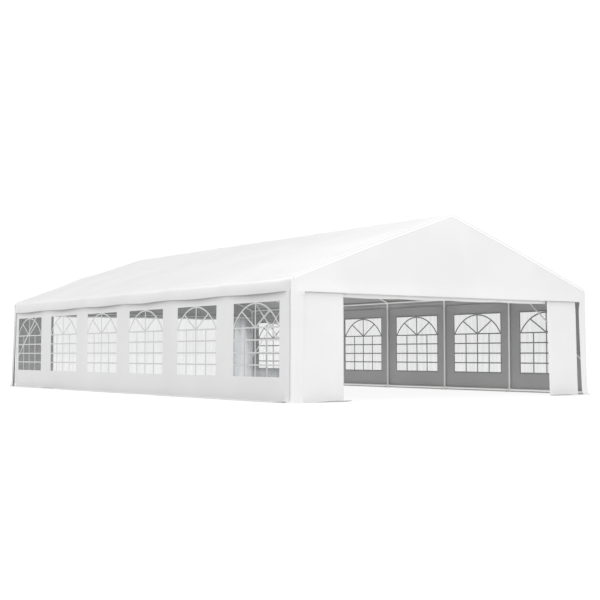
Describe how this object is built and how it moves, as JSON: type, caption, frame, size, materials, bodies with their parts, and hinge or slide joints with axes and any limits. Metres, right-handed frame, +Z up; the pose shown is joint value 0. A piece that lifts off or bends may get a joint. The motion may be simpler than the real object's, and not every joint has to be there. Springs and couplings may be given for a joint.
{
  "type": "marquee tent",
  "caption": "Long white marquee tent: pitched cloth cover on a tube frame, window walls on both sides, open doorway in each gable.",
  "frame": {"origin": "on the ground, under the middle of the tent", "axes": "+Z up, +Y along the tent from the front gable to the back gable, +X to the right seen from the front"},
  "size_m": [7.265, 12.375, 3.2784],
  "materials": {
    "cover_cloth": "white coated polyethylene cloth, satin",
    "wall_cloth": "white coated polyethylene cloth, satin",
    "window_film": "clear PVC film, slightly milky",
    "frame_steel": "white powder coat on steel tube"
  },
  "bodies": {
    "root": {"back_crossbar": "frame_steel", "back_gable": "cover_cloth", "back_left_brace": "frame_steel", "back_left_door_panel": "wall_cloth", "back_left_leg_cover": "wall_cloth", "back_right_brace": "frame_steel", "back_right_door_panel": "wall_cloth", "back_right_leg_cover": "wall_cloth", "back_rolled_door": "wall_cloth", "front_crossbar": "frame_steel", "front_gable": "cover_cloth", "front_left_brace": "frame_steel", "front_left_door_panel": "wall_cloth", "front_left_leg_cover": "wall_cloth", "front_right_brace": "frame_steel", "front_right_door_panel": "wall_cloth", "front_right_leg_cover": "wall_cloth", "front_rolled_door": "wall_cloth", "left_eave_purlin": "frame_steel", "left_ground_bar": "frame_steel", "left_post_1": "frame_steel", "left_post_2": "frame_steel", "left_post_3": "frame_steel", "left_post_4": "frame_steel", "left_post_5": "frame_steel", "left_post_6": "frame_steel", "left_post_7": "frame_steel", "left_slope_purlin": "frame_steel", "left_wall": "wall_cloth", "left_window_film": "window_film", "ridge_purlin": "frame_steel", "right_eave_purlin": "frame_steel", "right_ground_bar": "frame_steel", "right_post_1": "frame_steel", "right_post_2": "frame_steel", "right_post_3": "frame_steel", "right_post_4": "frame_steel", "right_post_5": "frame_steel", "right_post_6": "frame_steel", "right_post_7": "frame_steel", "right_slope_purlin": "frame_steel", "right_wall": "wall_cloth", "right_window_film": "window_film", "roof_cover": "cover_cloth", "roof_frame_1": "frame_steel", "roof_frame_2": "frame_steel", "roof_frame_3": "frame_steel", "roof_frame_4": "frame_steel", "roof_frame_5": "frame_steel", "roof_frame_6": "frame_steel", "roof_frame_7": "frame_steel"}
  },
  "joints": []
}
